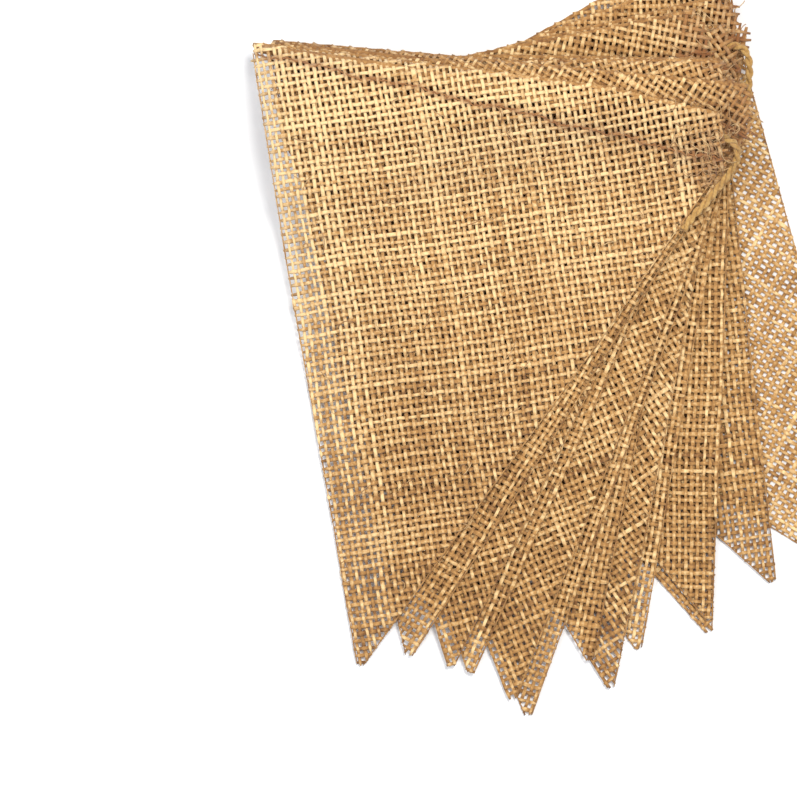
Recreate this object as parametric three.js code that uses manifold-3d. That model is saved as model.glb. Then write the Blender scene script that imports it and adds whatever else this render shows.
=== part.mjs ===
// Fabric bunting: triangular jute pennants with sewn casings, threaded on jute twine and laid down as one
// fanned stack. Millimetres, +Z up, the origin under the middle of the stack on the surface that it lies on.
// Up in the picture of the stack is +Y, and the front pennant, which lies on top, is pennant_01.
import * as THREE from "three";
import { mergeVertices } from "three/addons/utils/BufferGeometryUtils.js";
import Module from "manifold-3d";

const wasm = await Module();
wasm.setup();

// Driving sizes of one pennant: about 6 by 7 inches, with a casing that takes a thin rod or a twine.
const clothThickness = 1.0;
const casingDepth = 14;
const casingThickness = 2.4; // two layers of cloth, pressed flat
const rollThickness = 0.2; // added to a casing for each millimetre by which it is rolled up
const seamRun = 2.5; // over which the cloth rises below the stitch line
const foldRun = 2.2; // over which the casing is rounded off at its fold
// How steeply a casing rises from its seam and falls at its fold, where it is flat, rolled up or open.
const flatSlopes = { seam: 0.56, fold: 0.6 };
const rolledSlopes = { seam: 1.2, fold: 0.8 };
const openSlopes = { seam: 1.3, fold: 1.1 };
const mouthLength = 24; // of a casing end that is pulled open
const mouthWall = 0.9;
const mouthWidth = 9;
const mouthTaper = 0.4; // share of its width that the mouth keeps where it closes
const mouthDepth = 0.9; // share of its length that is hollow
const mouthOvershoot = 3; // by which the hollow is cut past the end
const tipHalfWidth = 1.0; // a cut point is slightly blunt
const edgeWave = 0.6; // how far a hand-cut edge wanders to each side
const edgeHalfWaves = 2.6; // along one edge
const edgeShift = 0.7; // in half waves, from one pennant to the next
const edgePieces = 6;
const layerGap = 0.52; // upright, from one pennant to the next

// Driving sizes of the twine.
const twineDiameter = 2.4;
const twineSides = 8;
const twineStep = 2; // diameters from one section to the next
const twineRest = 0.35; // from the twine to the cloth
const twineClearing = 3.5; // diameter that the open casings leave free around it

// The lattice on which the stack's heights are kept. Every pennant bends along its lines alone, so that two
// pennants which are apart at its nodes are apart everywhere.
const latticeStep = 12.5;
const latticeFromX = -52;
const latticeFromY = -30;
const latticeColumns = 19;
const latticeRows = 22;
const sampleStep = 2;
const outlineMargin = 1; // by which a pennant's outline is widened where its thickness is read
const farBelow = -20; // where cutting prisms start and end, clear of the stack
const farAbove = 90;
const weldDistance = 1e-4;

// The stack from the top down, one row for each pennant. tipX and tipY: its point, to the right of and above
// the front pennant's point. lean: how far its middle line leans to the right, in degrees. left, right: half
// widths at the stitch line. drop: stitch line to point. casingLeft: depth of the casing at its left end,
// where some are rolled up. fullAt: how far right of the middle the casing is at its full depth. slant: how
// far the casing's right end leans outwards at the fold. mouth: clear height of the casing's right end, or
// 0 where it is pressed flat.
const pennantColumns = [
  "name", "tipX", "tipY", "lean", "left", "right", "drop", "casingLeft", "fullAt", "slant", "mouth",
];
const pennantTable = [
  ["pennant_01", 0, 0, 13.0, 75.4, 75.4, 177, 3.4, 35, -5.9, 5.2],
  ["pennant_02", 15.1, 2.9, 9.6, 73, 76.5, 177, 4.0, 70, -3.5, 0],
  ["pennant_03", 28.1, -0.3, 3.1, 64, 76.5, 177, 6.5, 60, -4.0, 0],
  ["pennant_04", 34.4, -2.3, 1.0, 62, 76.5, 177, 10, 0, -3.0, 0],
  ["pennant_05", 47.2, -10.5, -0.9, 67, 74, 177, 11, 0, -5.0, 0],
  ["pennant_06", 52.2, -15.7, -3.4, 63, 76.5, 177, 11, 0, -3.0, 4.2],
  ["pennant_07", 71.3, 1.5, -11.4, 62, 74, 177, 12, 0, -3.0, 0],
  ["pennant_08", 77.8, -7.1, -11.1, 64, 75.6, 181, 12, 0, -4.0, 4.2],
  ["pennant_09", 86.4, 5.1, -13.4, 68, 76.5, 177, 12, 0, -5.0, 0],
  ["pennant_10", 108.3, 14.2, -20.9, 60, 75, 174, 12, 0, -4.0, 0],
  ["pennant_11", 108.3, 10.2, -21.4, 64, 75, 176, 12, 0, -5.0, 0],
  ["pennant_12", 128.1, 25.9, -29.3, 59, 73, 170, 12, 0, -4.0, 0],
  ["pennant_13", 162.3, 22.2, -37.9, 66, 76.5, 177, 12, 0, -5.0, 0],
];

// Where the twine lies between its ends: right of and above the front pennant's point.
const twineFrontPlan = [
  [115.7, 160.5], [116.1, 156.2], [113.6, 151.5], [109.9, 146.9], [106.8, 142.9], [104.2, 140.4],
  [102.2, 138], [99.9, 134.6],
];
const twineLoopPlan = [[118, 190.9], [119.8, 188.2], [120.3, 184.6], [120.1, 180.3], [119.9, 176.6], [119.3, 173.4]];
const twineTuck = 2; // how far each end runs into its casing

const clothMaterial = () =>
  new THREE.MeshStandardMaterial({ color: 0xc08a45, roughness: 0.95, metalness: 0 });
const twineMaterial = () =>
  new THREE.MeshStandardMaterial({ color: 0xa87634, roughness: 0.9, metalness: 0 });

function named(columns, rows) {
  return rows.map((row) => Object.fromEntries(columns.map((column, i) => [column, row[i]])));
}

function between(low, high, share) {
  return low + (high - low) * share;
}

// A closed geometry as a solid that can be joined and cut, and back again.
function solidOf(geometry) {
  const bare = geometry.clone();
  bare.deleteAttribute("normal");
  bare.deleteAttribute("uv");
  const merged = mergeVertices(bare, weldDistance);
  return new wasm.Manifold(
    new wasm.Mesh({
      numProp: 3,
      vertProperties: new Float32Array(merged.attributes.position.array),
      triVerts: new Uint32Array(merged.index.array),
    }),
  );
}

function geometryOf(solid) {
  const mesh = solid.getMesh();
  const geometry = new THREE.BufferGeometry();
  geometry.setAttribute("position", new THREE.Float32BufferAttribute(mesh.vertProperties, 3));
  geometry.setIndex(Array.from(mesh.triVerts));
  return geometry;
}

function latticeNode(column, row) {
  return [latticeFromX + column * latticeStep, latticeFromY + row * latticeStep];
}

// A height for each node of the lattice, from a rule that is given the node's place and number.
function latticeHeights(rule) {
  const heights = [];
  for (let row = 0; row <= latticeRows; row += 1) {
    for (let column = 0; column <= latticeColumns; column += 1) {
      heights.push(rule(...latticeNode(column, row), row * (latticeColumns + 1) + column));
    }
  }
  return heights;
}

// The solid between two sets of lattice heights.
function latticeSolid(low, high) {
  const across = latticeColumns + 1;
  const count = across * (latticeRows + 1);
  const positions = [low, high].flatMap((heights) =>
    heights.flatMap((z, i) => [...latticeNode(i % across, Math.floor(i / across)), z]),
  );
  const triangles = [];
  const wall = (a, b) => triangles.push(a, b, count + b, a, count + b, count + a);
  for (let row = 0; row < latticeRows; row += 1) {
    for (let column = 0; column < latticeColumns; column += 1) {
      const a = row * across + column;
      const [b, c, d] = [a + 1, a + across + 1, a + across];
      triangles.push(a, c, b, a, d, c);
      triangles.push(count + a, count + b, count + c, count + a, count + c, count + d);
    }
    wall((row + 1) * across, row * across);
    wall(row * across + latticeColumns, (row + 1) * across + latticeColumns);
  }
  for (let column = 0; column < latticeColumns; column += 1) {
    wall(column, column + 1);
    wall(latticeRows * across + column + 1, latticeRows * across + column);
  }
  const geometry = new THREE.BufferGeometry();
  geometry.setAttribute("position", new THREE.Float32BufferAttribute(positions, 3));
  geometry.setIndex(triangles);
  return solidOf(geometry);
}

// A tall upright prism over an outline.
function prismOver(outline) {
  const shape = new THREE.Shape(outline.map(([x, y]) => new THREE.Vector2(x, y)));
  const height = farAbove - farBelow;
  const geometry = new THREE.ExtrudeGeometry(shape, { depth: height, bevelEnabled: false });
  return solidOf(geometry.translate(0, 0, farBelow));
}

// The places of one pennant. u runs along its stitch line from the middle, and v up from the stitch line.
function pennantLayout(p, index) {
  const lean = THREE.MathUtils.degToRad(p.lean);
  const [sine, cosine] = [Math.sin(lean), Math.cos(lean)];
  const place = (u, v) => [
    p.tipX + (v + p.drop) * sine + u * cosine,
    p.tipY + (v + p.drop) * cosine - u * sine,
  ];
  const local = (x, y) => [
    (x - p.tipX) * cosine - (y - p.tipY) * sine,
    (x - p.tipX) * sine + (y - p.tipY) * cosine - p.drop,
  ];
  const taper = (casingDepth - p.casingLeft) / (p.fullAt + p.left);
  const depthAt = (u) => Math.min(casingDepth, p.casingLeft + taper * (u + p.left));
  const wave = (share, side) =>
    share * edgeWave * Math.sin(Math.PI * (edgeHalfWaves * share + edgeShift * index + side));
  const edges = [...Array(edgePieces + 1).keys()].map((i) => i / edgePieces);
  const left = edges.map((q) => [-between(tipHalfWidth, p.left, q) + wave(q, 0), (q - 1) * p.drop]);
  const right = edges.map((q) => [between(tipHalfWidth, p.right, q) + wave(q, 1), (q - 1) * p.drop]);
  const body = [...left.reverse(), ...right];
  const [start, end] = [left[0][0], right.at(-1)[0]];
  const fold = [
    [end + p.slant, casingDepth],
    [p.fullAt, casingDepth],
    [start, p.casingLeft],
  ];
  return { p, place, local, taper, depthAt, body, end, fold };
}

// How thick the casing is at its highest: a flat tube, thicker where it is rolled up and where it is open.
function casingTop(layout, u) {
  const { p, depthAt } = layout;
  const rolled = casingThickness + rollThickness * (casingDepth - depthAt(u));
  const opened = p.mouth ? 2 * mouthWall + p.mouth * mouthShare(layout, u) : 0;
  return Math.max(rolled, opened);
}

// The thickness of a pennant at a place on the lattice, with its outline widened by the margin; 0 outside.
function thicknessAt(layout, x, y) {
  const { p, local, depthAt, end } = layout;
  const [u, v] = local(x, y);
  const share = 1 + Math.min(0, v) / p.drop;
  const reachLeft = -between(tipHalfWidth, p.left, share) - edgeWave - outlineMargin;
  const reachRight = between(tipHalfWidth, p.right, share) + edgeWave + outlineMargin;
  const inside = v > -p.drop - outlineMargin && v < depthAt(Math.min(u, end)) + outlineMargin;
  if (!inside || u < reachLeft || u > reachRight) return 0;
  return v > -seamRun - outlineMargin ? casingTop(layout, Math.min(u, end)) : clothThickness;
}

// What a pennant adds to the height of the stack: each node takes the most of the cells around it.
function addedHeight(thickness) {
  const across = latticeColumns + 1;
  const added = latticeHeights(() => 0);
  const raise = (node, z) => {
    added[node] = Math.max(added[node], z);
  };
  for (let y = 0; y < latticeRows * latticeStep; y += sampleStep) {
    for (let x = 0; x < latticeColumns * latticeStep; x += sampleStep) {
      const here = thickness(latticeFromX + x, latticeFromY + y);
      if (here === 0) continue;
      const node = Math.floor(y / latticeStep) * across + Math.floor(x / latticeStep);
      [node, node + 1, node + across, node + across + 1].forEach((i) => raise(i, here + layerGap));
    }
  }
  return added;
}

// The height of the lattice's surface over any place.
function heightOn(heights, x, y) {
  const across = latticeColumns + 1;
  const [column, row] = [(x - latticeFromX) / latticeStep, (y - latticeFromY) / latticeStep];
  const [c, r] = [Math.floor(column), Math.floor(row)];
  const [dx, dy] = [column - c, row - r];
  const at = (i, j) => heights[(r + j) * across + c + i];
  const corner = dx > dy ? at(1, 0) : at(0, 1);
  return at(0, 0) * (1 - Math.max(dx, dy)) + corner * Math.abs(dx - dy) + at(1, 1) * Math.min(dx, dy);
}

// The share of its full height that a mouth has left at a place along the casing.
function mouthShare(layout, u) {
  return 1 - (layout.end - u) / mouthLength;
}

// The hollow of an open casing end: a flat six-sided funnel that closes as it runs in.
function mouthHollow(layout, base) {
  const { p, place, end } = layout;
  const sections = [end + mouthOvershoot, end - mouthDepth * mouthLength];
  const points = sections.flatMap((u) => {
    const share = mouthShare(layout, u);
    const half = (mouthWidth / 2) * between(mouthTaper, 1, share);
    const ring = [[-half, 0.5], [-half / 2, 0], [half / 2, 0], [half, 0.5], [half / 2, 1], [-half / 2, 1]];
    return ring.flatMap(([side, lift]) => {
      const [x, y] = place(u, casingDepth / 2 + side);
      return [x, y, heightOn(base, x, y) + mouthWall + lift * p.mouth * share];
    });
  });
  const sides = 6;
  const triangles = [];
  for (let i = 0; i < sides; i += 1) {
    const j = (i + 1) % sides;
    triangles.push(i, j + sides, j, i, i + sides, j + sides);
  }
  for (let i = 1; i + 1 < sides; i += 1) {
    triangles.push(0, i, i + 1, sides, sides + i + 1, sides + i);
  }
  const geometry = new THREE.BufferGeometry();
  geometry.setAttribute("position", new THREE.Float32BufferAttribute(points, 3));
  geometry.setIndex(triangles);
  return solidOf(geometry);
}

// One pennant on top of what lies at the given heights. Each part of it is what lies under a surface and
// inside an outline; a surface is given as its rise over the pile, as a rule of u and v.
function pennantSolid(layout, base) {
  const { p, place, local, taper, body, end, fold } = layout;
  const under = (rise) =>
    latticeSolid(
      base.map(() => farBelow),
      latticeHeights((x, y, node) => base[node] + rise(...local(x, y))),
    );
  const inside = (outline) => prismOver(outline.map(([u, v]) => place(u, v)));
  const [start, corner] = [body[edgePieces], body.at(-1)];
  const casingPlan = inside([[start[0], -seamRun], [corner[0], -seamRun], corner, ...fold]);
  // It climbs from below the stitch line to its top, and is rounded off at its fold.
  const hump = (top, foldLine, slopes) =>
    under((u) => top(u))
      .intersect(under((u, v) => clothThickness + (v + seamRun) * slopes.seam))
      .intersect(under((u, v) => top(u) - (v - foldLine(u) + foldRun) * slopes.fold))
      .intersect(casingPlan);

  const atFold = () => casingDepth;
  const rolledFold = (u) => p.casingLeft + taper * (u + p.left);
  const rolledTop = (u) => casingThickness + rollThickness * (casingDepth - rolledFold(u));
  const openTop = (u) => 2 * mouthWall + p.mouth * mouthShare(layout, u);
  let solid = under(() => clothThickness)
    .intersect(inside([...body, ...fold]))
    .add(hump(() => casingThickness, atFold, flatSlopes))
    .add(hump(rolledTop, rolledFold, rolledSlopes));
  if (p.mouth) solid = solid.add(hump(openTop, atFold, openSlopes));
  solid = solid.intersect(latticeSolid(base, base.map(() => farAbove)));
  return p.mouth ? solid.subtract(mouthHollow(layout, base)) : solid;
}

// The two points of a twine's route in a mouth, from its tucked end to the casing's lip.
function mouthRoute(layout, base) {
  const { p, place, end } = layout;
  const lip = end + p.slant / 2;
  return [lip - twineTuck, lip].map((u) => {
    const [x, y] = place(u, casingDepth / 2);
    return [x, y, heightOn(base, x, y) + mouthWall + (p.mouth * mouthShare(layout, u)) / 2];
  });
}

// A round cord along a route.
function cordGeometry(route, diameter) {
  const section = new THREE.Shape();
  section.absarc(0, 0, diameter / 2, 0, 2 * Math.PI);
  const path = new THREE.CatmullRomCurve3(route.map((point) => new THREE.Vector3(...point)));
  return new THREE.ExtrudeGeometry(section, {
    steps: Math.ceil(path.getLength() / (twineStep * twineDiameter)),
    curveSegments: twineSides,
    bevelEnabled: false,
    extrudePath: path,
  });
}

// The pile from the bottom up: each pennant with the heights of what lies under it.
function layPile() {
  const pennants = named(pennantColumns, pennantTable);
  let base = latticeHeights(() => 0);
  return pennants
    .map((p, index) => pennantLayout(p, index))
    .reverse()
    .map((layout) => {
      const under = base;
      const added = addedHeight((x, y) => thicknessAt(layout, x, y));
      base = base.map((z, node) => z + added[node]);
      return { layout, base: under };
    });
}

// The routes of the two lengths of twine that show: one comes out of the front pennant's casing and lies
// beside its edge, and one runs in a loop from one casing up into another.
function twineRoutes(pile) {
  const find = (name) => pile.find(({ layout }) => layout.p.name === name);
  const mouthOf = ({ layout, base }) => mouthRoute(layout, base);
  const front = find("pennant_01");
  const rest = twineDiameter / 2 + twineRest;
  const beside = twineFrontPlan.map(([x, y]) => [x, y, heightOn(front.base, x, y) + rest]);
  const [lower, upper] = ["pennant_08", "pennant_06"].map((name) => mouthOf(find(name)));
  const climb = (i) => between(lower[1][2], upper[1][2], (i + 1) / (twineLoopPlan.length + 1));
  const loop = twineLoopPlan.map(([x, y], i) => [x, y, climb(i)]);
  return {
    twine_front: [...mouthOf(front), ...beside],
    twine_loop: [...lower, ...loop, ...upper.reverse()],
  };
}

// A route with both of its ends moved outwards by the twine's rest.
function lengthened(route) {
  const points = route.map((point) => new THREE.Vector3(...point));
  const outwards = (end, next) => end.clone().sub(next).setLength(twineRest).add(end);
  const first = outwards(points[0], points[1]);
  const last = outwards(points.at(-1), points.at(-2));
  return [first, ...points.slice(1, -1), last].map((point) => point.toArray());
}

function meshNamed(name, geometry, material) {
  const mesh = new THREE.Mesh(geometry, material);
  mesh.name = name;
  return mesh;
}

// Builds the pennants from the bottom up, and then the twine. The open casings keep clear of it.
function buildStack() {
  const stack = new THREE.Group();
  const pile = layPile();
  const routes = twineRoutes(pile);
  const clearings = Object.values(routes).map((route) =>
    solidOf(cordGeometry(lengthened(route), twineClearing)),
  );
  for (const { layout, base } of pile) {
    let solid = pennantSolid(layout, base);
    if (layout.p.mouth) solid = clearings.reduce((all, clearing) => all.subtract(clearing), solid);
    stack.add(meshNamed(layout.p.name, geometryOf(solid), clothMaterial()));
  }
  for (const [name, route] of Object.entries(routes)) {
    stack.add(meshNamed(name, cordGeometry(route, twineDiameter), twineMaterial()));
  }
  return stack;
}

// Moves the stack so that the middle of its box is over the origin, and its lowest point at zero.
function centred(stack) {
  const box = new THREE.Box3().setFromObject(stack);
  const middle = box.getCenter(new THREE.Vector3());
  stack.position.set(-middle.x, -middle.y, -box.min.z);
  return stack;
}

export default centred(buildStack());
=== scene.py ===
# %% [markdown]
# # A fanned stack of jute pennants
# This lesson dresses a stack of thirteen triangular bunting pennants. The real ones are cut from hessian,
# which is a plain weave of thick jute yarns with open holes between them. A flat sheet with a picture of a
# weave on it looks wrong as soon as the light is low or the cloth is seen from its edge, so every yarn here
# is a tube of its own that passes over and under the yarns that it crosses.

# %% Load the packed model
import math

import bpy
import numpy as np
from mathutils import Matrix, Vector
from mathutils.bvhtree import BVHTree


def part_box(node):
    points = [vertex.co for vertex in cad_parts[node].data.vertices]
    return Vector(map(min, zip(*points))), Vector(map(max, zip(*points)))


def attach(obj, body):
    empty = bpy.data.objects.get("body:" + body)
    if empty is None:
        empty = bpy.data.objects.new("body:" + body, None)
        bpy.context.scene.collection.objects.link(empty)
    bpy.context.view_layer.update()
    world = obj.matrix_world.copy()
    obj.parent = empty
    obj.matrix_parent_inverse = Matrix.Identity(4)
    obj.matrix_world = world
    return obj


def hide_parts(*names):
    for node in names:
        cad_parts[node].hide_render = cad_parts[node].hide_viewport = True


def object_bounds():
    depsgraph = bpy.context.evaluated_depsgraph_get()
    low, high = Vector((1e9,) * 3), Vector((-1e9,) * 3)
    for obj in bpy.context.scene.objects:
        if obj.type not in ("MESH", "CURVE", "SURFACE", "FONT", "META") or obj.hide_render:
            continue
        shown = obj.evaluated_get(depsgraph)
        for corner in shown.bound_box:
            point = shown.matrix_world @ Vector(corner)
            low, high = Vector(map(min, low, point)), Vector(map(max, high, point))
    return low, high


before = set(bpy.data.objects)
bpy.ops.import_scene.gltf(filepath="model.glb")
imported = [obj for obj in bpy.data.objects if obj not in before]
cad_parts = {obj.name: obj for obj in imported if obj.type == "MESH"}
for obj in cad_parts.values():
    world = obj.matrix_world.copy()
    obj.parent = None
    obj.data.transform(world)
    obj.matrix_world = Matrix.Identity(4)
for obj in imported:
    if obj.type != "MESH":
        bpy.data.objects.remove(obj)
cad_low, cad_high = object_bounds()
MM = 0.001
packed_size = [round(s / MM) for s in cad_high - cad_low]
print("packed model:", len(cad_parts), "nodes, size in mm:", packed_size)

# %% [markdown]
# ## The camera
# The photograph looks straight down on the stack, and nothing in it shrinks with distance, so the lens is a
# very long one, far away. The picture is square. Its width on the surface and its middle are the two sizes
# that place everything else, so the camera comes first. The photograph has a paper-white background and
# strong colours, so the colours are shown as they are, without the softening curve of a film look.

# %% Camera
PICTURE_WIDTH = 0.246
PICTURE_MIDDLE = (-0.0531, -0.0195)
CAMERA_HEIGHT = 3.2
MID_STACK = 0.02
SENSOR = 36.0

camera_data = bpy.data.cameras.new("overhead")
camera_data.sensor_width = SENSOR
camera_data.lens = SENSOR * (CAMERA_HEIGHT - MID_STACK) / PICTURE_WIDTH
camera_data.clip_start = 0.1
camera_data.clip_end = 20.0
camera = bpy.data.objects.new("overhead", camera_data)
camera.location = (*PICTURE_MIDDLE, CAMERA_HEIGHT)
bpy.context.scene.collection.objects.link(camera)
bpy.context.scene.camera = camera
bpy.context.scene.view_settings.view_transform = "Standard"
print("lens in mm:", round(camera_data.lens))

# %% [markdown]
# ## The plan of the stack
# A maker would write down how each pennant lies as one line of a table. The point and the lean of the
# middle line place it; two half widths and the drop from the stitch line to the point give its triangle.
# The last columns are about the casing, the hem along the top that the twine runs in, and then about the
# jute: which way up the cloth lies, how light it is, and how much it darkens towards the point and from
# left to right. The sizes are millimetres to the right of and above the front pennant's point, and
# degrees.

# %% Pennants
COLUMNS = "name tip_x tip_y lean left right drop casing_left full_at slant mouth turned tone fade across"
PENNANTS = [
    ("pennant_01", 0, 0, 13.0, 75.4, 75.4, 177, 3.4, 35, -5.9, 5.2, -1, 0.53, 0.30, 0.20),
    ("pennant_02", 15.1, 2.9, 9.6, 73, 76.5, 177, 4.0, 70, -3.5, 0, 1, 0.44, 0.12, 0),
    ("pennant_03", 28.1, -0.3, 3.1, 64, 76.5, 177, 6.5, 60, -4.0, 0, -1, 0.46, 0.12, 0),
    ("pennant_04", 34.4, -2.3, 1.0, 62, 76.5, 177, 10, 0, -3.0, 0, 1, 0.46, 0.12, 0),
    ("pennant_05", 47.2, -10.5, -0.9, 67, 74, 177, 11, 0, -5.0, 0, -1, 0.48, 0.12, 0),
    ("pennant_06", 52.2, -15.7, -3.4, 63, 76.5, 177, 11, 0, -3.0, 4.2, 1, 0.45, 0.12, 0),
    ("pennant_07", 71.3, 1.5, -11.4, 62, 74, 177, 12, 0, -3.0, 0, 1, 0.44, 0.12, 0),
    ("pennant_08", 77.8, -7.1, -11.1, 64, 75.6, 181, 12, 0, -4.0, 4.2, -1, 0.46, 0.12, 0),
    ("pennant_09", 86.4, 5.1, -13.4, 68, 76.5, 177, 12, 0, -5.0, 0, 1, 0.47, 0.12, 0),
    ("pennant_10", 108.3, 14.2, -20.9, 60, 75, 174, 12, 0, -4.0, 0, 1, 0.45, 0.12, 0),
    ("pennant_11", 108.3, 10.2, -21.4, 64, 75, 176, 12, 0, -5.0, 0, -1, 0.42, 0.12, 0),
    ("pennant_12", 128.1, 25.9, -29.3, 59, 73, 170, 12, 0, -4.0, 0, 1, 0.42, 0.12, 0),
    ("pennant_13", 162.3, 22.2, -37.9, 66, 76.5, 177, 12, 0, -5.0, 0, -1, 0.49, 0.06, 0),
]
pennants = [dict(zip(COLUMNS.split(), row)) for row in PENNANTS]
print("pennants in the table:", len(pennants))

# %% [markdown]
# ## One pennant's outline
# The cut edges wander a little, as scissors do, and the casing's right end is cut at a slant. The outline
# is worked out flat, because cloth keeps its outline when it is laid over a pile. In it, u runs along the
# stitch line from its middle and v runs up from the stitch line, so the point is at the lowest v.

# %% Outline
CASING_DEPTH = 14
TIP_HALF_WIDTH = 1.0
EDGE_PIECES = 6
EDGE_WAVE = 0.6
EDGE_HALF_WAVES = 2.6
EDGE_SHIFT = 0.7


def to_plan(p, u, v):
    lean = math.radians(p["lean"])
    x = p["tip_x"] + (v + p["drop"]) * math.sin(lean) + u * math.cos(lean)
    y = p["tip_y"] + (v + p["drop"]) * math.cos(lean) - u * math.sin(lean)
    return x, y


def to_pennant(p, x, y):
    lean = math.radians(p["lean"])
    u = (x - p["tip_x"]) * math.cos(lean) - (y - p["tip_y"]) * math.sin(lean)
    v = (x - p["tip_x"]) * math.sin(lean) + (y - p["tip_y"]) * math.cos(lean) - p["drop"]
    return u, v


def cut_edge(p, index, half_width, side):
    points = []
    for piece in range(EDGE_PIECES + 1):
        share = piece / EDGE_PIECES
        phase = (1 if side > 0 else 0) + EDGE_HALF_WAVES * share + EDGE_SHIFT * index
        wave = share * EDGE_WAVE * math.sin(math.pi * phase)
        across = TIP_HALF_WIDTH + (half_width - TIP_HALF_WIDTH) * share
        points.append((side * across + wave, (share - 1) * p["drop"]))
    return points


def outline(p, index):
    left = cut_edge(p, index, p["left"], -1)
    right = cut_edge(p, index, p["right"], 1)
    p["end"] = right[-1][0]
    fold = [(p["end"] + p["slant"], CASING_DEPTH), (p["full_at"], CASING_DEPTH)]
    fold.append((left[-1][0], p["casing_left"]))
    return [to_plan(p, u, v) for u, v in right + fold + left[::-1]]


for index, p in enumerate(pennants):
    p["outline"] = np.array(outline(p, index))
front = pennants[0]["outline"]
print("front pennant in mm:", [round(float(size), 1) for size in np.ptp(front, axis=0)])

# %% [markdown]
# The plan has its zero at the front pennant's point, and the packed model has its own at the middle of the
# stack. The lowest pennant is in both, so the step from one to the other is read from its box.

# %% Step from the plan to the packed model
bottom_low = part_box("pennant_13")[0]
plan_low = pennants[-1]["outline"].min(0)
PLAN_ORIGIN = np.array([bottom_low.x, bottom_low.y]) / MM - plan_low
print("the front pennant's point in the packed model, mm:", PLAN_ORIGIN.round(2))

# %% [markdown]
# ## How high each pennant lies
# Each pennant is bent over the pile below it. The packed solids hold that shape as flat facets on a coarse
# lattice. Rays from below read the underside of one solid, and a least-squares fit gives the heights at
# the lattice's nodes. A smooth surface through the same nodes then gives the cloth's height anywhere. All
# the pennants use one lattice and one rule, so they keep their order and don't cut through each other.
# Rays that pass through an open mouth of a casing hit its upper wall, so the rays that miss the fit are
# left out of it.

# %% Rays from below
RAY_STEP = 2.5
RAY_INSET = 0.3
BELOW_THE_STACK = -0.01


def underside_points(node):
    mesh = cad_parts[node].data
    corners = [v.co.copy() for v in mesh.vertices]
    tree = BVHTree.FromPolygons(corners, [tuple(face.vertices) for face in mesh.polygons])
    low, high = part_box(node)
    found = []
    for x in np.arange(low.x / MM + RAY_INSET, high.x / MM, RAY_STEP):
        for y in np.arange(low.y / MM + RAY_INSET, high.y / MM, RAY_STEP):
            hit = tree.ray_cast(Vector((x * MM, y * MM, BELOW_THE_STACK)), Vector((0, 0, 1)))[0]
            if hit is not None:
                found.append((x - PLAN_ORIGIN[0], y - PLAN_ORIGIN[1], hit.z / MM))
    return np.array(found)


print("heights read under the front pennant:", len(underside_points("pennant_01")))

# %% [markdown]
# A place lies in one triangle of the lattice, and its height is a mix of the heights at the three corners,
# so each ray gives one equation. Where no ray hits, a weak rule that the surface bends little fills in the
# heights.

# %% Lattice
LATTICE_STEP = 12.5
LATTICE_FROM = (-52, -30)
LATTICE_COLUMNS = 20
LATTICE_ROWS = 23
NEIGHBOUR_WEIGHT = 0.02


def lattice_weights(points):
    column = (points[:, 0] - LATTICE_FROM[0]) / LATTICE_STEP
    row = (points[:, 1] - LATTICE_FROM[1]) / LATTICE_STEP
    c = np.floor(column).astype(int)
    r = np.floor(row).astype(int)
    dx, dy = column - c, row - r
    weights = np.zeros((len(points), LATTICE_ROWS * LATTICE_COLUMNS))
    line = np.arange(len(points))
    weights[line, r * LATTICE_COLUMNS + c] = 1 - np.maximum(dx, dy)
    weights[line, r * LATTICE_COLUMNS + c + 1] = np.maximum(dx - dy, 0)
    weights[line, (r + 1) * LATTICE_COLUMNS + c] = np.maximum(dy - dx, 0)
    weights[line, (r + 1) * LATTICE_COLUMNS + c + 1] = np.minimum(dx, dy)
    return weights


def bending_rows():
    rows = []
    for r in range(LATTICE_ROWS):
        for c in range(LATTICE_COLUMNS):
            for dr, dc in ((0, 1), (1, 0)):
                if r + 2 * dr < LATTICE_ROWS and c + 2 * dc < LATTICE_COLUMNS:
                    bend = np.zeros((LATTICE_ROWS, LATTICE_COLUMNS))
                    bend[r, c] = bend[r + 2 * dr, c + 2 * dc] = NEIGHBOUR_WEIGHT
                    bend[r + dr, c + dc] = -2 * NEIGHBOUR_WEIGHT
                    rows.append(bend.ravel())
    return np.array(rows)


smoothness = bending_rows()
print("nodes of the lattice:", LATTICE_ROWS * LATTICE_COLUMNS, "rules about bending:", len(smoothness))

# %% [markdown]
# The fit is done twice, and the rays that miss the first one are left out of the second. A node is then
# added in the middle of each step, so that the smooth surface stays close to the facets.

# %% Heights of all pennants
OPEN_MOUTH_MISS = 0.5
BARELY_HELD = 1e-9


def fitted(weights, height):
    left = weights.T @ weights + smoothness.T @ smoothness
    return np.linalg.solve(left + BARELY_HELD * np.eye(len(left)), weights.T @ height)


def node_heights(points):
    weights = lattice_weights(points)
    heights = fitted(weights, points[:, 2])
    kept = np.abs(weights @ heights - points[:, 2]) < OPEN_MOUTH_MISS
    heights = fitted(weights[kept], points[kept, 2])
    miss = float(np.abs(weights[kept] @ heights - points[kept, 2]).max())
    print("   rays:", len(points), "left out:", int((~kept).sum()), "worst miss in mm:", round(miss, 3))
    return heights.reshape(LATTICE_ROWS, LATTICE_COLUMNS)


def halved(heights):
    fine = np.zeros((2 * LATTICE_ROWS - 1, 2 * LATTICE_COLUMNS - 1))
    fine[::2, ::2] = heights
    fine[::2, 1::2] = (heights[:, 1:] + heights[:, :-1]) / 2
    fine[1::2, ::2] = (heights[1:] + heights[:-1]) / 2
    fine[1::2, 1::2] = (heights[1:, 1:] + heights[:-1, :-1]) / 2
    return np.pad(fine, 2, mode="edge")


for p in pennants:
    print(p["name"])
    p["heights"] = halved(node_heights(underside_points(p["name"])))

# %% [markdown]
# A cubic B-spline is a kind weighting: each place takes a little of sixteen nodes around it, never less
# than nothing of any, so a surface that is higher at every node is higher everywhere.

# %% Smooth height


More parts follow.
